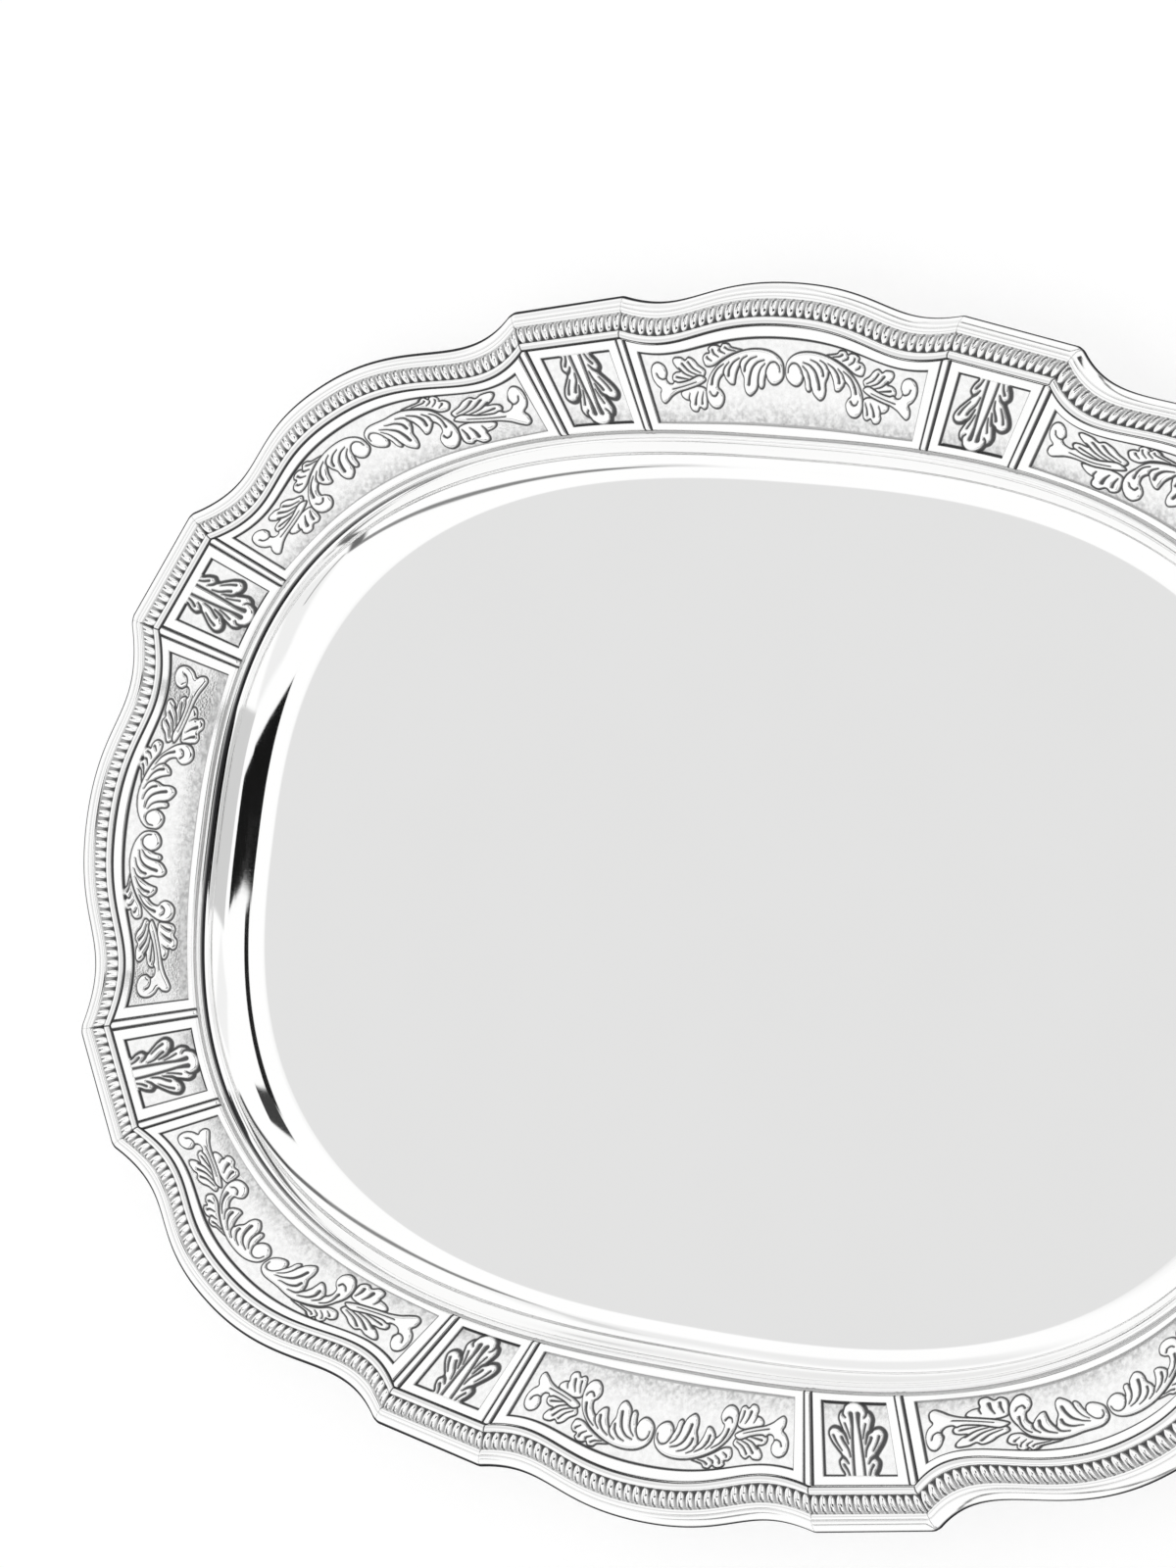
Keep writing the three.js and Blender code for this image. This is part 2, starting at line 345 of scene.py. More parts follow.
SCROLL = [
    (0.35, 24.8), (0.6, 22.4), (2.0, 20.6), (4.6, 19.2), (8.0, 18.5), (12.0, 18.4),
    (16.0, 18.9), (20.0, 20.0), (23.5, 21.5), (26.6, 23.8), (28.9, 26.8), (29.9, 30.0),
    (29.6, 32.8), (28.0, 34.5), (25.8, 34.7), (24.0, 33.4), (23.2, 31.3), (23.9, 29.6),
    (24.9, 28.4), (24.2, 26.3), (22.4, 24.9), (21.7, 26.3), (20.4, 27.8), (18.9, 28.0),
    (18.3, 26.6), (17.6, 24.8), (16.2, 22.9), (15.8, 24.6), (15.1, 26.4), (15.3, 28.6),
    (14.8, 30.5), (13.4, 31.4), (11.8, 30.7), (10.6, 29.6), (10.0, 28.4), (9.5, 29.2),
    (8.6, 29.4), (7.8, 28.6), (7.5, 27.0), (6.9, 25.6), (6.3, 27.0), (5.0, 28.1),
    (3.4, 28.2), (1.7, 27.4), (0.6, 26.2),
]
SCROLL_GROOVES = [
    ([(7.0, 21.6), (9.4, 22.2), (11.4, 23.7), (12.6, 26.0), (13.2, 28.2)], 0.10, 0.42),
    ([(9.6, 20.6), (12.0, 21.3), (13.8, 22.8), (14.4, 24.4)], 0.08, 0.30),
    ([(6.8, 22.6), (8.4, 23.9), (9.4, 25.8), (9.9, 28.4)], 0.08, 0.30),
    ([(13.0, 20.3), (15.0, 21.2), (16.2, 22.9)], 0.08, 0.22),
    ([(15.8, 20.8), (18.2, 21.9), (19.8, 23.6), (20.4, 25.4)], 0.08, 0.36),
    ([(19.6, 21.6), (21.4, 23.0), (22.4, 24.9)], 0.08, 0.22),
    ([(21.6, 21.9), (24.2, 23.2), (26.0, 25.2), (26.9, 27.3)], 0.08, 0.36),
    ([(1.5, 24.7), (1.8, 23.2), (3.2, 22.1), (5.0, 22.4), (6.3, 23.9), (6.9, 25.6)], 0.12, 0.18),
    ([(25.2, 30.1), (26.2, 31.0), (27.5, 30.7), (28.1, 29.5)], 0.26, 0.12),
]
TUFT_GROOVES = [
    ([(17.2, 18.6), (19.4, 18.0), (20.6, 17.2)], 0.08, 0.24),
    ([(20.8, 19.0), (22.4, 18.0), (22.6, 17.4)], 0.08, 0.28),
    ([(23.2, 19.6), (24.6, 18.4), (25.0, 17.2)], 0.08, 0.28),
    ([(25.8, 20.4), (27.0, 19.4), (27.2, 18.9)], 0.08, 0.26),
]
SPRAY_GROOVES = [
    ([(30.6, 23.4), (33.2, 21.6), (34.8, 19.2)], 0.08, 0.28),
    ([(31.8, 24.0), (35.0, 22.2), (37.2, 19.4)], 0.08, 0.32),
    ([(33.0, 24.6), (36.6, 23.0), (38.8, 20.8)], 0.08, 0.30),
    ([(35.0, 25.0), (38.0, 24.2), (40.4, 23.6)], 0.08, 0.30),
]
BRANCH_GROOVES = [
    ([(44.8, 23.7), (46.1, 24.2), (47.5, 23.6), (48.0, 22.3)], 0.14, 0.24),
    ([(33.0, 26.0), (38.0, 26.8), (43.0, 27.6)], 0.06, 0.14),
]
LEAFLET_GROOVES = [
    ([(33.2, 29.2), (34.4, 31.0), (35.2, 33.0)], 0.08, 0.42),
    ([(36.6, 29.4), (37.4, 30.9), (37.5, 31.9)], 0.08, 0.24),
    ([(31.0, 29.4), (32.0, 31.4), (32.4, 33.0)], 0.08, 0.32),
]


def scroll_relief():
    """Half of a scroll panel's ornament, from the lowest layer to the highest."""
    relief = Relief((-0.5, 14.0), (53.0, 41.0))
    layers = [
        (SPRAY, 0.45, SPRAY_GROOVES),
        (LEAFLET, 0.45, LEAFLET_GROOVES),
        (BRANCH, 0.55, BRANCH_GROOVES),
        (TUFT, 0.45, TUFT_GROOVES),
        (SCROLL, 0.65, SCROLL_GROOVES),
    ]
    for outline, rise, grooves in layers:
        relief.shape(outline, rise)
        for points, start, end in grooves:
            relief.groove(points, start, end)
    return relief


# Half of a leaf panel's upright leaf, from its middle line.
LEAF_SPAN = 34.2
LEAF = [
    (4.9, 14.0), (5.3, 16.0), (6.3, 17.8), (6.8, 20.0), (5.8, 21.8), (7.2, 23.9), (9.0, 26.4),
    (10.0, 28.8), (9.6, 30.4), (8.2, 31.3), (6.4, 31.0), (5.0, 30.1), (5.7, 32.3), (6.2, 34.2),
    (5.6, 36.0), (4.3, 36.9), (3.6, 38.3), (2.0, 39.5), (0.0, 39.9),
]
LEAF_GROOVES = [
    ([(1.75, 13.8), (1.7, 20.0), (1.45, 27.0), (1.15, 31.5)], 0.22, 0.26),
    ([(1.15, 31.5), (1.2, 34.0), (1.35, 35.6)], 0.26, 0.62),
    ([(3.4, 19.4), (4.4, 20.9), (5.8, 21.8)], 0.10, 0.46),
    ([(3.2, 15.0), (3.9, 17.2), (4.9, 18.9)], 0.08, 0.24),
    ([(2.6, 21.6), (3.2, 24.2), (4.6, 26.6), (5.2, 27.9)], 0.08, 0.30),
    ([(5.4, 23.6), (7.0, 26.2), (8.0, 28.4)], 0.06, 0.24),
    ([(3.0, 25.8), (3.6, 27.9), (4.2, 29.3), (5.5, 30.4)], 0.10, 0.50),
    ([(2.3, 27.6), (2.9, 30.0), (3.7, 32.4)], 0.06, 0.16),
    ([(3.4, 34.4), (4.2, 35.4), (4.3, 36.9)], 0.10, 0.34),
]


def leaf_relief():
    """The upright leaf of a leaf panel, which is the same on both sides of its middle."""
    relief = Relief((-12.0, 14.0), (12.0, 41.0))
    mirrored = [(-u, v) for u, v in reversed(LEAF[:-1])]
    relief.shape(LEAF + mirrored, 1.0, round_off=1.3, line=0.36)
    for points, start, end in LEAF_GROOVES:
        relief.groove(points, start, end)
        relief.groove([(-u, v) for u, v in points], start, end)
    return relief


# ---------------------------------------------------------------- meshes
def build(name, points, faces, caps, slot, node, layers):
    """A piece that stands for a CAD node, in the material that its slot names. Points are
    in millimetres. The quads are smooth and the caps flat. Layers are values at points."""
    mesh = bpy.data.meshes.new(name)
    loops = np.concatenate([faces.ravel(), *caps])
    sizes = [4] * len(faces) + [len(cap) for cap in caps]
    starts = np.cumsum([0] + sizes[:-1])
    mesh.vertices.add(len(points))
    mesh.vertices.foreach_set("co", (points * MM).astype(np.float32).ravel())
    mesh.loops.add(len(loops))
    mesh.loops.foreach_set("vertex_index", loops.astype(np.int32))
    mesh.polygons.add(len(starts))
    mesh.polygons.foreach_set("loop_start", starts.astype(np.int32))
    mesh.polygons.foreach_set("use_smooth", np.arange(len(sizes)) < len(faces))
    mesh.update(calc_edges=True)
    for key, values in layers.items():
        layer = mesh.attributes.new(key, "FLOAT", "POINT")
        layer.data.foreach_set("value", values.astype(np.float32).ravel())
    mesh.validate()
    piece = bpy.data.objects.new(name, mesh)
    bpy.context.scene.collection.objects.link(piece)
    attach(piece, "root")
    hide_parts(node)
    mesh.materials.append(MATERIALS[slot])
    return piece


def quads(rows, columns, wrap_rows, wrap_columns):
    """The quads of a grid of points, closed along either way."""
    r = np.arange(rows if wrap_rows else rows - 1)
    c = np.arange(columns if wrap_columns else columns - 1)
    i, j = np.meshgrid(r, c, indexing="ij")
    i2, j2 = (i + 1) % rows, (j + 1) % columns
    return np.stack(
        [i * columns + j, i * columns + j2, i2 * columns + j2, i2 * columns + j], -1
    ).reshape(-1, 4)


def sweep(name, bay, shares, distance, height, layers, slot, node):
    """A piece of border. Rows go along the bay and columns round the section."""
    rows, columns = height.shape
    xy = bay.plan(np.repeat(shares[:, None], columns, 1), distance)
    points = np.concatenate([xy, height[..., None]], -1).reshape(-1, 3)
    faces = quads(rows, columns, False, True)
    caps = [np.arange(columns)[::-1], (rows - 1) * columns + np.arange(columns)]
    return build(name, points, faces, caps, slot, node, layers)


RING_STEP = 2.2


def ring_stations():
    """Places all the way round, at even steps along each bay."""
    stations = []
    for bay in BAYS:
        steps = max(8, int(bay.length / RING_STEP))
        stations += [(bay, k / steps) for k in range(steps)]
    return stations


def ring_around(name, section, slot, node, patina_and_shade, capped=False):
    """A piece that goes all the way round, from a closed section. A capped one has an
    open section instead, with a cap over the middle of the tray at either end of it."""
    section = np.asarray(section, float)
    stations = ring_stations()
    xy = np.array([bay.plan(np.full(len(section), k), section[:, 0]) for bay, k in stations])
    rows, columns = xy.shape[:2]
    z = np.broadcast_to(section[:, 1], (rows, columns))
    points = np.concatenate([xy, z[..., None]], -1).reshape(-1, 3)
    faces = quads(rows, columns, True, not capped)
    first = np.arange(rows) * columns
    caps = [first, (first + columns - 1)[::-1]] if capped else []
    layers = {"patina_and_shade": np.broadcast_to(patina_and_shade, (rows, columns))}
    return build(name, points, faces, caps, slot, node, layers)


# ---------------------------------------------------------------- materials
def feed(tree, socket, value):
    """Gives an input a fixed value, or a link from another node's output."""
    if isinstance(value, bpy.types.NodeSocket):
        tree.links.new(value, socket)
    else:
        socket.default_value = value


def arithmetic(tree, operation, *values):
    made = tree.nodes.new("ShaderNodeMath")
    made.operation = operation
    for socket, value in zip(made.inputs, values):
        feed(tree, socket, value)
    return made.outputs["Value"]


CLEAN_SILVER = (0.965, 0.965, 0.962, 1)
DULL_SILVER = (0.80, 0.79, 0.77, 1)
# The dark colour stands for patina in the cuts and also for painted shade along creases, steps
# and edges.
DARK_PATINA_AND_SHADE = (0.02, 0.02, 0.022, 1)

# Hairline scratches: which way they run, in radians, and how far they are drawn out.
HAIRLINES = ((0.4, 60.0), (2.0, 45.0))
HAIRLINE_FINENESS = 2600


def silver(name, roughness, scratch, matted=False):
    """Polished metal, dark in its cuts and creases with patina and painted shade, with hairlines
    from cleaning.
    """
    material = bpy.data.materials.new(name)
    material.use_nodes = True
    tree = material.node_tree
    nodes, links = tree.nodes, tree.links
    shader = nodes["Principled BSDF"]
    shader.inputs["Specular IOR Level"].default_value = 0.08
    place = nodes.new("ShaderNodeTexCoord").outputs["Object"]

    def node(kind, **inputs):
        made = nodes.new("ShaderNode" + kind)
        for key, value in inputs.items():
            feed(tree, made.inputs[key.replace("_", " ")], value)
        return made

    def mapped(value, low, high, to_low, to_high):
        span = {"From_Min": low, "From_Max": high, "To_Min": to_low, "To_Max": to_high}
        return node("MapRange", Value=value, **span).outputs["Result"]

    def attribute(key):
        made = nodes.new("ShaderNodeAttribute")
        made.attribute_name = key
        return made.outputs["Fac"]

    def blend(share, first, second):
        made = nodes.new("ShaderNodeMix")
        made.data_type = "RGBA"
        links.new(share, made.inputs["Factor"])
        for key, value in (("A", first), ("B", second)):
            socket = next(i for i in made.inputs if i.name == key and i.type == "RGBA")
            feed(tree, socket, value)
        return next(o for o in made.outputs if o.type == "RGBA")

    # This attribute holds patina together with painted shade.
    patina_and_shade = attribute("patina_and_shade")
    dark = patina_and_shade
    if matted:
        # A ground of fine punched dots, darker between the dots, and darker still towards the
        # well where the ground carries painted shade.
        ground = attribute("ground")
        dots = node("TexVoronoi", Vector=place, Scale=1500.0).outputs["Distance"]
        speckle = node("TexNoise", Vector=place, Scale=700.0, Detail=4.0).outputs["Fac"]
        speckle_and_shade = arithmetic(tree, "MULTIPLY", mapped(speckle, 0.36, 0.68, 0.08, 0.5), ground)
        dark = arithmetic(tree, "MAXIMUM", patina_and_shade, speckle_and_shade)

    # Faint tarnish, in soft clouds a few centimetres across.
    cloud = node("TexNoise", Vector=place, Scale=22.0, Detail=4.0).outputs["Fac"]
    tarnish = mapped(cloud, 0.4, 0.8, 0.0, 0.05)
    clean = blend(tarnish, CLEAN_SILVER, DULL_SILVER)
    links.new(blend(dark, clean, DARK_PATINA_AND_SHADE), shader.inputs["Base Color"])
    metallic = arithmetic(tree, "MULTIPLY_ADD", patina_and_shade, -1.0, 1.0)
    links.new(metallic, shader.inputs["Metallic"])

    lines = []
    for turn, stretch in HAIRLINES:
        turned = nodes.new("ShaderNodeMapping")
        turned.inputs["Rotation"].default_value = (0, 0, turn)
        turned.inputs["Scale"].default_value = (stretch, HAIRLINE_FINENESS, HAIRLINE_FINENESS)
        links.new(place, turned.inputs["Vector"])
        fine = node("TexNoise", Vector=turned.outputs["Vector"], Scale=1.0, Detail=2.0)
        lines.append(fine.outputs["Fac"])
    hair = arithmetic(tree, "MAXIMUM", *lines)
    rough = mapped(hair, 0.45, 0.85, roughness, roughness + scratch)
    rough = arithmetic(tree, "MULTIPLY_ADD", patina_and_shade, 0.5, rough)
    bump = node("Bump", Strength=0.05, Distance=0.00002, Height=hair).outputs["Normal"]
    if matted:
        rough = arithmetic(tree, "MULTIPLY_ADD", ground, 0.3, rough)
        punched = arithmetic(tree, "MULTIPLY", dots, ground)
        bump = node("Bump", Strength=0.6, Distance=0.00012, Height=punched, Normal=bump)
        bump = bump.outputs["Normal"]
    links.new(rough, shader.inputs["Roughness"])
    links.new(bump, shader.inputs["Normal"])
    return material


MATERIALS = {
    "polished_silver": silver("polished_silver", 0.04, 0.04),
    "struck_silver": silver("struck_silver", 0.07, 0.06, matted=True),
    "cast_silver": silver("cast_silver", 0.07, 0.06),
}


# ---------------------------------------------------------------- scroll and leaf panels
# The panels run from outer to inner, and their sunk ground from its edge to its edge.
GROUND_DEPTH = 0.8
OUTER = MOUNT + END_GAP
INNER = PANEL_EDGE + 0.1
GROUND_FROM = MOUNT + FRAME_WIDTH
GROUND_TO = INNER - 2.3
# How far from the well the ground's matting and its painted shade reach.
MATTED_AND_SHADED = 11.0
# How far the dark line spreads from a cut: round the leaf it spreads wider, as painted shade.
SCROLL_CUT = 0.3
LEAF_CUT = 0.55
CUT_DEPTH = 0.3
EDGE_DROP = 0.35

# The ornament as drawn: the far volute's middle, the end of the branch and the panel's
# half. The branch ends short of the panel's end by about the margin.
DRAWN_VOLUTE = 27.0
DRAWN_END = 50.4
DRAWN_HALF = 51.0
END_MARGIN = 7.7

# How the ornament lies on each half of a panel: its far volute's middle, and how far it
# is moved towards the well.
SIDE_HALF = (28.3, 0.0)
END_HALF = (26.5, -0.8)
SHORT_HALF = (27.6, 0.3)
LONG_HALF = (26.5, 1.9)
HALVES = {
    "side": (SIDE_HALF, SIDE_HALF),
    "end": (END_HALF, END_HALF),
    "corner": (SHORT_HALF, LONG_HALF),
    "turned": (LONG_HALF, SHORT_HALF),
}

# On a long half the ornament leans to the panel's end, more towards its outer side: how
# far at each reach from the middle, which keeps the volute at its end round. It is also
# spread a little across the panel, about one level. On bay 1 its end lies further out.
LEAN = ([10, 28, 40, 59, 64.5, 68], [0, 8, 7.6, 7.0, 2.4, 0])
LEAN_FROM = 36.0
LEAN_OVER = 17.0
SPREAD = 0.15
SPREAD_LEVEL = 30.5
LIFTED = {1: 2.4}


def ornament_place(bay, along, distance):
    """Where each place on a panel falls on the drawing of its ornament."""
    if not bay.scroll:
        return (along / bay.length - 0.5) * LEAF_SPAN, distance
    middle = bay.apex * bay.length
    u = np.zeros_like(along)
    v = np.array(distance)
    for side, (volute, lower) in zip((-1, 1), HALVES[bay.kind]):
        half = middle if side < 0 else bay.length - middle
        end = DRAWN_END * (half - END_MARGIN) / DRAWN_HALF
        reach = (along - middle) * side
        on = reach >= 0
        down = distance - lower * smooth(0, 12, reach)
        if (volute, lower) == LONG_HALF:
            outwards = np.clip((LEAN_FROM - distance) / LEAN_OVER, 0, 1.1)
            spread = SPREAD * (SPREAD_LEVEL - distance) * smooth(6, 20, reach)
            if bay.index in LIFTED:
                spread = mix(spread, LIFTED[bay.index], smooth(44, 58, reach))
            down = down + spread
            reach = reach - np.interp(reach, *LEAN) * outwards
        own = np.interp(
            reach, [0, volute, end, end + 5], [0, DRAWN_VOLUTE, DRAWN_END, DRAWN_END + 5]
        )
        u = np.where(on, own, u)
        v = np.where(on, down, v)
    return u, v


def spaced(stretches):
    """Places from edge to edge, at about each stretch's own step."""
    parts = [
        np.linspace(start, end, math.ceil((end - start) / step), endpoint=False)
        for start, end, step in stretches
    ]
    return np.concatenate([*parts, [stretches[-1][1]]])


# Where the section's columns stand: closer together at the edges of the sunk ground.
PANEL_COLUMNS = spaced(
    [
        (OUTER, OUTER + 0.6, 0.12),
        (OUTER + 0.6, GROUND_FROM - 0.2, 0.3),
        (GROUND_FROM - 0.2, GROUND_FROM + 1.2, 0.12),
        (GROUND_FROM + 1.2, GROUND_TO - 1.2, 0.2),
        (GROUND_TO - 1.2, GROUND_TO + 0.2, 0.12),
        (GROUND_TO + 0.2, INNER - 0.6, 0.3),
        (INNER - 0.6, INNER, 0.12),
    ]
)
PANEL_CELL = 0.215


def add_columns(field, added):
    """Widens a grid by columns that are the same in every row."""
    added = np.asarray(added, float)
    return np.concatenate([field, np.broadcast_to(added, (len(field), len(added)))], 1)


def panel(number, bay, relief):
    """A struck panel: a frame, a sunk ground and the ornament that stands on it."""
    margin = RIB_WIDTH / 2 + END_GAP
    rows = int((bay.length - 2 * margin) / PANEL_CELL)
    along = np.linspace(margin, bay.length - margin, rows)
    A, D = np.meshgrid(along, PANEL_COLUMNS, indexing="ij")
    to_end = np.minimum(A, bay.length - A) - margin

    # The sunk ground inside its frame, mitred at the corners.
    outer, inner, ends = D - GROUND_FROM, GROUND_TO - D, to_end - FRAME_END
    edge = np.minimum(np.minimum(outer, inner), ends)
    sunk = smooth(0.0, 0.5, edge)
    within = smooth(0.1, 0.5, edge)

    rise, cut, raised = relief.read(*ornament_place(bay, A, D))
    line = (1 - smooth(0.0, SCROLL_CUT if bay.scroll else LEAF_CUT, cut)) * within
    cut_depth = CUT_DEPTH * line * np.clip(raised * 2, 0.2, 1)
    height = -GROUND_DEPTH * sunk + rise * within - cut_depth

    # Dark lines in the cuts, at the foot of the frame and along the panel's outer edge and ends:
    # patina in these hollows, and painted shade. Round the leaf the lines spread wider as
    # painted shade. At the foot of the frame they are fainter towards the well on the scroll
    # panels and wider towards the well on the leaf panels, as painted shade.
    towards_well = inner < np.minimum(outer, ends)
    wide = np.where(towards_well, 0.25 if bay.scroll else 0.45, 0.0)
    foot = smooth(0.0, 0.25, edge) * (1 - smooth(0.55 + wide, 1.0 + wide, edge)) * (1 - raised)
    foot = foot * np.where(towards_well & bay.scroll, 0.4, 0.95)
    to_border = np.minimum(np.minimum(D - OUTER, INNER - D), to_end)
    border = 1 - smooth(0.1, 0.45, np.minimum(D - OUTER, to_end))
    height = height - EDGE_DROP * (1 - smooth(0.0, 0.5, to_border)) ** 2
    patina_and_shade = np.maximum.reduce([0.9 * line, foot, 0.9 * border])

    # The ground is matted, more towards the well, and its speckled tone grows darker towards the
    # well as painted shade.
    ground = sunk * (1 - np.clip(raised * 1.6, 0, 1))
    ground = ground * mix(0.25, 1.0, smooth(GROUND_TO - MATTED_AND_SHADED, GROUND_TO, D) ** 1.5)

    # The back and the sides close the panel.
    back = np.linspace(INNER, OUTER, 5)
    plain = np.zeros(len(back))
    distance = add_columns(D, back)
    z = add_columns(panel_top(D) + height, panel_top(back) - PANEL_BACK)
    layers = {"patina_and_shade": add_columns(patina_and_shade, plain), "ground": add_columns(ground, plain)}
    node = f"{'scroll' if bay.scroll else 'leaf'}_panel_{number}"
    shares = along / bay.length
    sweep("chased_" + node, bay, shares, distance, z, layers, "struck_silver", node)


# ---------------------------------------------------------------- mounts
TONGUES_FROM = 5.2
TONGUES_TO = 9.6
TONGUE_PITCH = 3.05
TONGUE_HALF = 0.84
NOTCH_LENGTH = 0.55
NOTCH_HALF = 0.42
LIP_TO = 4.9
MOUNT_GAP = 0.02
MOUNT_CELL = 0.2
# The mount's section, as distance in and height. Its under side comes back to the lip.
MOUNT_TOP = [
    (0.0, 17.45), (0.15, 17.65), (0.5, 17.98), (0.9, 18.32), (1.5, 18.72), (2.2, 19.02),
    (2.85, 19.14), (3.05, 19.02), (3.25, 19.14), (3.8, 19.3), (4.4, 19.28), (4.8, 19.1),
    (5.0, 18.8), (5.2, 18.7), (5.6, 18.8), (6.5, 19.0), (7.5, 19.1), (8.6, 19.1), (9.3, 19.1),
    (9.6, 19.25), (9.75, 19.8), (9.95, 20.2), (10.4, 20.42), (11.0, 20.45), (11.5, 20.38),
    (11.75, 20.2), (11.88, 19.9),
]
MOUNT_UNDER = [
    (11.9, 18.1), (14.5, 17.2), (14.5, 16.6), (12.0, 16.9), (4.0, 16.9), (0.6, 16.85),
    (0.0, 17.0),
]
MOUNT_COLUMNS = spaced(
    [
        (0.0, 1.2, 0.12),
        (1.2, 2.8, 0.3),
        (2.8, 3.3, 0.1),
        (3.3, 4.8, 0.3),
        (4.8, 10.0, 0.15),
        (10.0, 11.4, 0.35),
        (11.4, 11.88, 0.12),
    ]
)


# The lip's corners are rounded, and the rounding fades out before the tongues.
CORNER_RADIUS = 4.5
ROUNDED_TO = (2.5, 5.2)


def corner_pull(bay, along):
    """How far the rounded corners draw the outline in, at each place along a bay."""
    before, after = BAYS[bay.index - 1], BAYS[(bay.index + 1) % len(BAYS)]
    pull = np.zeros_like(along)
    for first, second, away in ((before, bay, along), (bay, after, bay.length - along)):
        into = first.rim.points[-1] - first.rim.points[-2]
        out_of = second.rim.points[1] - second.rim.points[0]
        turn = math.atan2(into[0] * out_of[1] - into[1] * out_of[0], into @ out_of)
        reach = CORNER_RADIUS * math.tan(turn / 2)
        pull += np.sign(turn) * np.clip(abs(reach) - away, 0, None) ** 2 / (2 * CORNER_RADIUS)
    return pull


def tongues(bay, along, distance):
    """The gadroon's row of tongues, each round towards the well and notched towards the
    lip. Gives how far they rise, and the patina and painted shade in the notches and
    between the tongues, darker towards their round ends. Along a tongue, t goes from its
    notch to its round end."""
    phase = along / bay.length * round(bay.length / TONGUE_PITCH)
    aside = np.abs((phase - np.floor(phase) - 0.5) * 2)
    t = (distance - TONGUES_FROM) / (TONGUES_TO - TONGUES_FROM)
    band = (t >= 0) & (t <= 1)
    t = np.clip(t, 0, 1)
    to_round_end = np.clip(t - 0.5, 0, 1) / 0.5
    round_end = TONGUE_HALF * np.sqrt(np.clip(1 - to_round_end**3.2, 0, 1))
    half = np.where(t < 0.5, mix(TONGUE_HALF - 0.1, TONGUE_HALF, t / 0.5), round_end)
    across = np.clip(1 - (aside / np.maximum(half, 1e-3)) ** 2, 0, 1)
    notch_half = NOTCH_HALF * np.clip(1 - t / NOTCH_LENGTH, 0, 1)
    notch = np.clip(1 - aside / np.maximum(notch_half, 1e-3), 0, 1) * (t < NOTCH_LENGTH)
    rise = (0.75 + 0.3 * np.sin(math.pi * t)) * np.sqrt(across) - 0.5 * notch
    rise = np.maximum(rise, -0.05) * smooth(0, 0.08, t)
    between = (1 - smooth(0.0, 0.45, across)) * mix(0.5, 0.9, smooth(0.3, 0.8, t))
    dark = np.maximum(between, 0.85 * smooth(0.05, 0.5, notch))
    return np.where(band, rise, 0), np.where(band, dark, 0)


def fine_line(distance, place, half, dark):
    """The patina and painted shade of a thin line along a mount."""
    return dark * np.exp(-(((distance - place) / half) ** 2))


def mount(number, bay):
    """A cast edge: its hollow lip, the row of tongues and the plain fillet inside them."""
    rows = int((bay.length - 2 * MOUNT_GAP) / MOUNT_CELL)
    along = np.linspace(MOUNT_GAP, bay.length - MOUNT_GAP, rows)
    A, D = np.meshgrid(along, MOUNT_COLUMNS, indexing="ij")
    rise, dark = tongues(bay, A, D)
    z = np.interp(D, *np.transpose(MOUNT_TOP)) + rise

    # Dark lines along the mount: patina in its grooves and steps, and painted shade. The one at
    # the outline is painted shade along the edge, wider at the left-hand end.
    leftwards = smooth(60.0, -150.0, bay.rim.at(along / bay.length)[:, :1])
    lines = [
        1 - smooth(0.2, 0.5, D - 0.7 * leftwards),
        fine_line(D, 3.05, 0.14, 0.3),
        fine_line(D, 5.0, 0.2, 0.35),
        fine_line(D, 9.66, 0.17, 0.7),
        0.95 * smooth(11.5, 11.8, D),
    ]

    # The mitre at each end of the tongues, dark with patina and painted shade.
    to_end = np.minimum(A, bay.length - A) - MOUNT_GAP
    over_lip = smooth(LIP_TO - 1.0, LIP_TO + 0.4, D)
    mitre = 0.85 * (1 - smooth(0.05, 0.4, to_end)) * over_lip
    z = z - 0.3 * (1 - smooth(0.0, 0.4, to_end)) ** 2 * over_lip
    patina_and_shade = np.maximum.reduce([dark, *lines, mitre])

    under_place, under_height = np.transpose(MOUNT_UNDER)
    distance = add_columns(D, under_place)
    distance = distance + corner_pull(bay, along)[:, None] * (1 - smooth(*ROUNDED_TO, distance))
    # The under side's outer edge is painted dark, as painted shade that draws the outline.
    beneath = np.zeros(len(MOUNT_UNDER))
    beneath[-1] = 1.0
    layers = {"patina_and_shade": add_columns(patina_and_shade, beneath)}
    node = f"{'scroll' if bay.scroll else 'leaf'}_mount_{number}"
    shares = along / bay.length
    height = add_columns(z, under_height)
    sweep("gadrooned_" + node, bay, shares, distance, height, layers, "cast_silver", node)


# ---------------------------------------------------------------- ribs
RIB_CROWN = 0.75
RIB_SUNK = 0.35
RIB_COLUMNS = 15
RIB_ROWS = 70


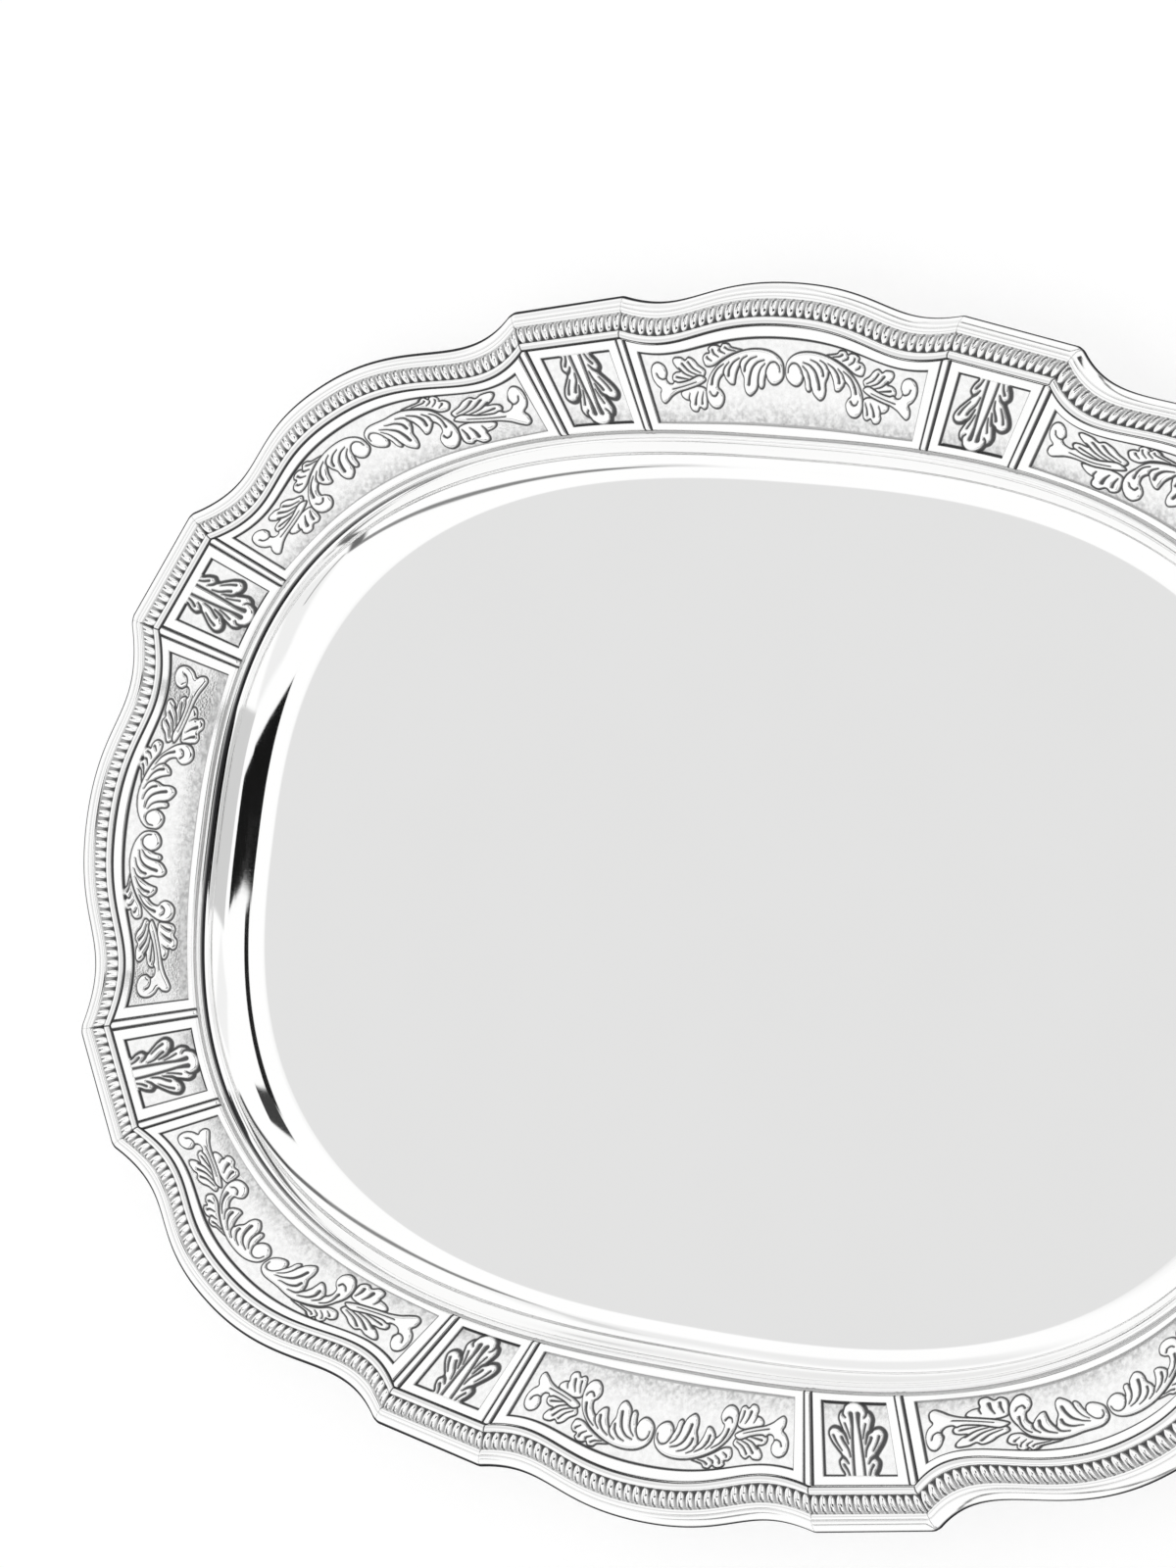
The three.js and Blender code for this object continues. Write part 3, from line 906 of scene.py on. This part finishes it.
def rib(index):
    """A rounded fillet over the seam between two panels."""
    before, after = BAYS[index - 1], BAYS[index]
    half = RIB_WIDTH / 2 - 0.05
    across = np.linspace(-1, 1, RIB_COLUMNS)
    d = np.linspace(OUTER, INNER, RIB_ROWS)
    lines = []
    for side in across:
        bay, corner = (before, 1) if side < 0 else (after, 0)
        lines.append(bay.plan(np.full(len(d), corner + side * half / bay.length), d))
    xy = np.array(lines)
    to_end = np.minimum(d - d[0], d[-1] - d)
    lift = RIB_CROWN * (1 - np.abs(across) ** 3)[:, None] - RIB_SUNK
    lift = lift - 0.4 * (1 - smooth(0.0, 0.7, to_end)) ** 2
    z_top = panel_top(d) + lift
    z_low = np.broadcast_to(panel_top(d) - PANEL_BACK, z_top.shape)
    top = np.concatenate([xy, z_top[..., None]], -1)
    low = np.concatenate([xy, z_low[..., None]], -1)[::-1]
    loop = np.concatenate([top, low], 0).transpose(1, 0, 2)
    rows, columns = loop.shape[:2]
    # Dark along both edges where the rib meets the panels: patina and painted shade in the
    # creases.
    edge = 0.92 * smooth(0.42, 0.74, np.abs(across))
    patina_and_shade = np.concatenate([edge, np.zeros(RIB_COLUMNS)])
    layers = {"patina_and_shade": np.broadcast_to(patina_and_shade, (rows, columns))}
    faces = quads(rows, columns, False, True)[:, ::-1]
    caps = [np.arange(columns), ((rows - 1) * columns + np.arange(columns))[::-1]]
    node = f"divider_rib_{index + 1}"
    points = loop.reshape(-1, 3)
    build("filed_" + node, points, faces, caps, "polished_silver", node, layers)


# ---------------------------------------------------------------- pan, bead and wire
STEEPEST = math.radians(75)
WALL_REACH = (WALL - 3) / math.sin(STEEPEST)
FLANGE_TOP = 10.6
FLANGE_EDGE = PANEL_EDGE - 4
WALL_RISE = (FLANGE_TOP - SHEET) / (1 - math.cos(STEEPEST))
FOOT_SOFT = 2.0


def pan_inside():
    """The pan's upper side, from the middle of the floor out. The wall is part of an
    ellipse that runs softly into the floor."""
    wall_top = FLOOR_EDGE - WALL_REACH * math.sin(STEEPEST)
    wall = np.linspace(wall_top, FLOOR_EDGE + 8, 64)
    d = np.append(wall, np.linspace(FLOOR_EDGE + 14, CENTRE - 1.0, 10))
    into_wall = FOOT_SOFT * np.log1p(np.exp((FLOOR_EDGE - d) / FOOT_SOFT))
    turn = np.arcsin(np.minimum(into_wall / WALL_REACH, math.sin(STEEPEST)))
    slope = WALL_RISE / WALL_REACH * np.tan(turn)
    climb = np.concatenate([[0], np.cumsum((slope[1:] + slope[:-1]) / 2 * np.diff(d))])
    return np.stack([d, SHEET + climb[-1] - climb], 1)[::-1]


def pan_underside():
    """The pan's lower side, from the flange back to the middle of the floor."""
    turn = np.linspace(STEEPEST, 0, 31)
    place = FLOOR_EDGE - (WALL_REACH + SHEET) * np.sin(turn)
    wall = np.stack([place, SHEET + WALL_RISE - (WALL_RISE + SHEET) * np.cos(turn)], 1)
    floor = [(d, 0.0) for d in np.linspace(FLOOR_EDGE + 1.5, CENTRE - 1.0, 10)]
    return np.vstack([wall, floor])


def pan():
    """One sheet: the flat floor, the curved wall of the well and the flange."""
    lip = FLANGE_TOP + 0.6
    flange = [(FLANGE_EDGE, lip), (FLANGE_EDGE, lip - SHEET)]
    section = np.vstack([pan_inside(), flange, pan_underside()])
    name = "burnished_well_pan"
    piece = ring_around(name, section, "polished_silver", "well_pan", 0.0, capped=True)
    piece.data.polygons.foreach_set("use_smooth", np.ones(len(piece.data.polygons), bool))


BEAD_BASE = 11.4
BEAD_MIDDLE = 12.5
BEAD_RISE = 0.9
WIRE_MIDDLE = (2.2, 15.7)
WIRE_RADIUS = 0.8


def bead():
    """A round bead, with a dark cove between it and the panels, of patina and painted shade.
    The line between it and the well is painted shade, dark at the left-hand end only."""
    outer, cove, inner = PANEL_EDGE + 0.25, PANEL_EDGE + 0.95, PANEL_EDGE + 2.6
    middle, half = (inner + cove) / 2, (inner - cove) / 2
    turn = np.linspace(0, math.pi, 13)
    top = np.stack([middle - half * np.cos(turn), BEAD_MIDDLE + BEAD_RISE * np.sin(turn)], 1)
    hollow = [(outer, 12.9), (outer + 0.2, 12.5), (outer + 0.5, 12.35)]
    section = np.vstack([hollow, top, [(inner, BEAD_BASE), (outer, BEAD_BASE)]])
    x = np.array([bay.rim.at(share)[0] for bay, share in ring_stations()])
    leftwards = smooth(-120.0, -200.0, x)[:, None]
    # Painted shade: the cove is darkened, and the line by the well is dark mostly at the
    # left-hand end.
    patina_and_shade = np.zeros((len(x), len(section)))
    patina_and_shade[:, :4] = (0.2, 0.4, 0.4, 0.15)
    patina_and_shade[:, -6:-4] = leftwards * np.array((0.3, 0.8))
    patina_and_shade[:, -4:] = mix(0.25, 1.0, leftwards) * np.array((0.8, 1.0, 1.0, 0.3))
    ring_around("turned_well_bead", section, "polished_silver", "well_bead", patina_and_shade)


def wire():
    """The round wire under the lip."""
    turn = np.linspace(0, 2 * math.pi, 12, endpoint=False)
    section = WIRE_MIDDLE + WIRE_RADIUS * np.stack([np.cos(turn), np.sin(turn)], 1)
    ring_around("drawn_rim_wire", section, "polished_silver", "rim_wire", 0.0)


SCROLL_RELIEF = scroll_relief()
LEAF_RELIEF = leaf_relief()
pan()
bead()
wire()
for bay in BAYS:
    number = bay.index // 2 + 1
    panel(number, bay, SCROLL_RELIEF if bay.scroll else LEAF_RELIEF)
    mount(number, bay)
    rib(bay.index)


# ---------------------------------------------------------------- studio
def studio_floor():
    """A pale sheet of paper under the tray, which gives off a little light itself."""
    mesh = bpy.data.meshes.new("studio_floor")
    half = 60.0
    z = CAD_LOW.z - 0.0002
    corners = [(-half, -half, z), (half, -half, z), (half, half, z), (-half, half, z)]
    mesh.from_pydata(corners, [], [(0, 1, 2, 3)])
    floor = bpy.data.objects.new("studio_floor", mesh)
    bpy.context.scene.collection.objects.link(floor)
    material = bpy.data.materials.new("studio_paper")
    material.use_nodes = True
    shader = material.node_tree.nodes["Principled BSDF"]
    shader.inputs["Base Color"].default_value = (0.5, 0.5, 0.5, 1)
    shader.inputs["Roughness"].default_value = 0.9
    shader.inputs["Specular IOR Level"].default_value = 0.0
    shader.inputs["Emission Color"].default_value = (1, 1, 1, 1)
    shader.inputs["Emission Strength"].default_value = 0.58
    mesh.materials.append(material)


def sky(polar, azimuth):
    """The direction at an angle from overhead, and round from the right-hand end."""
    polar, azimuth = math.radians(polar), math.radians(azimuth)
    return Vector(
        (
            math.sin(polar) * math.cos(azimuth),
            math.sin(polar) * math.sin(azimuth),
            math.cos(polar),
        )
    )


# What the silver sees: dark bands of sky along chains of directions, each with its
# half-width and soft edge in degrees and how much of the light it holds back.
BANDS = [
    # The dark figure over the tray, its arm and its hand.
    (6.2, 1.0, 0.992, [(6.0, 235), (20, 345.5), (36, 355)]),
    (5.4, 1.0, 0.992, [(34, 354.5), (47.5, 0)]),
    (4.6, 1.5, 0.985, [(4, 40), (26, 94)]),
    (4.8, 1.5, 0.95, [(28, 98), (44.5, 70)]),
    # Seams of the tent, either side, and what stands past their ends.
    (1.3, 1.6, 0.25, [(57, 229), (51.5, 224.5)]),
    (2.7, 3.0, 0.76, [(50.3, 226.5), (50.8, 236.7), (54, 246.8), (62, 260.8)]),
    (2.8, 2.6, 0.74, [(62, 260.8), (67.4, 270.3), (74, 282)]),
    (2.6, 2.0, 0.85, [(74, 282), (100, 279)]),
    (1.3, 1.0, 0.60, [(76, 286), (66, 304)]),
    (1.2, 1.6, 0.30, [(69.5, 127.5), (61, 129.7), (52.5, 130)]),
    (2.6, 3.0, 0.76, [(52.5, 130), (54, 117.3), (59.2, 106), (66, 94.6)]),
    (2.8, 2.4, 0.84, [(66, 94.6), (75.7, 81.8)]),
    (3.0, 3.0, 0.93, [(75.7, 81.8), (83.9, 66), (86, 57)]),
    # Grey boards low down.
    (13.0, 1.5, 0.38, [(57, 355), (110, 352)]),
    (9.0, 5.0, 0.12, [(60, 20), (80, 35)]),
    (14.0, 8.0, 0.14, [(52, 325), (80, 300)]),
    (9.0, 6.0, 0.06, [(45, 180), (60, 180)]),
    (9.0, 9.0, 0.15, [(60, 136), (74, 137)]),
]
LIGHT = 1.04
# The grey panel that the floor of the tray mirrors: its middle, where its soft edge
# starts and ends in degrees, and how much of the light it holds back.
GREY_PANEL = (sky(36.5, 180), 6.8, 10.5, 0.235)
# How bright the studio looks to the camera itself.
BACKDROP = 0.93


def studio_light():
    """A white tent, with its dark bands and its grey panel."""
    world = bpy.data.worlds.new("studio")
    bpy.context.scene.world = world
    world.use_nodes = True
    tree = world.node_tree
    nodes, links = tree.nodes, tree.links
    background = nodes["Background"]
    background.inputs["Color"].default_value = (1, 1, 1, 1)
    direction = nodes.new("ShaderNodeTexCoord").outputs["Generated"]

    def along(axis):
        """How far the direction looked in leans to an axis, from -1 to 1."""
        dot = nodes.new("ShaderNodeVectorMath")
        dot.operation = "DOT_PRODUCT"
        dot.inputs[1].default_value = axis
        links.new(direction, dot.inputs[0])
        return dot.outputs["Value"]

    def ramp(value, start, end):
        """One up to start, falling smoothly to nothing at end."""
        made = nodes.new("ShaderNodeMapRange")
        made.interpolation_type = "SMOOTHSTEP"
        made.inputs["From Min"].default_value = min(start, end)
        made.inputs["From Max"].default_value = max(start, end)
        made.inputs["To Min"].default_value = 1.0 if start < end else 0.0
        made.inputs["To Max"].default_value = 0.0 if start < end else 1.0
        links.new(value, made.inputs["Value"])
        return made.outputs["Result"]

    def sine(degrees):
        return math.sin(math.radians(degrees))

    def stretch_of_band(start, end, half, soft):
        """One on the great circle's arc from start to end, fading out round it."""
        across = start.cross(end).normalized()
        middle = (start + end).normalized()
        reach = math.sin(start.angle(end) / 2)
        aside = arithmetic(tree, "ABSOLUTE", along(across))
        lengthways = arithmetic(tree, "ABSOLUTE", along(across.cross(middle)))
        side = ramp(aside, sine(half - soft / 2), sine(half + soft / 2))
        ends = ramp(lengthways, reach, reach + sine(soft))
        both = arithmetic(tree, "MULTIPLY", side, ends)
        return arithmetic(tree, "MULTIPLY", both, ramp(along(middle), 0.1, 0.0))

    # The darkest band wins where bands cross.
    centre, inner, outer, share = GREY_PANEL
    within = ramp(along(centre), math.cos(math.radians(inner)), math.cos(math.radians(outer)))
    held = arithmetic(tree, "MULTIPLY", within, share)
    for half, soft, share, places in BANDS:
        for start, end in zip(places, places[1:]):
            mask = stretch_of_band(sky(*start), sky(*end), half, soft)
            held = arithmetic(tree, "MAXIMUM", held, arithmetic(tree, "MULTIPLY", mask, share))
    total = arithmetic(tree, "MULTIPLY", LIGHT, arithmetic(tree, "SUBTRACT", 1.0, held))

    # The camera itself sees only pale studio.
    path = nodes.new("ShaderNodeLightPath").outputs["Is Camera Ray"]
    seen = arithmetic(tree, "MAXIMUM", total, arithmetic(tree, "MULTIPLY", path, BACKDROP))
    links.new(seen, background.inputs["Strength"])


def camera():
    """The view of the photograph: from above the right-hand end, with a long lens."""
    across = Vector((0.785818, 0.122123, -0.606279))
    down = Vector((0.090390, -0.992462, -0.082755))
    ahead = Vector((-0.611815, 0.010229, -0.790935))
    turn = Matrix((across, -down, -ahead)).transposed()
    data = bpy.data.cameras.new("camera")
    data.lens = 152.65
    data.sensor_width = 36
    data.clip_end = 100
    eye = bpy.data.objects.new("camera", data)
    eye.matrix_world = Matrix.Translation((1.0793, 0.0090, 1.4765)) @ turn.to_4x4()
    bpy.context.scene.collection.objects.link(eye)
    bpy.context.scene.camera = eye


studio_floor()
studio_light()
camera()
bpy.context.scene.view_settings.view_transform = "Standard"
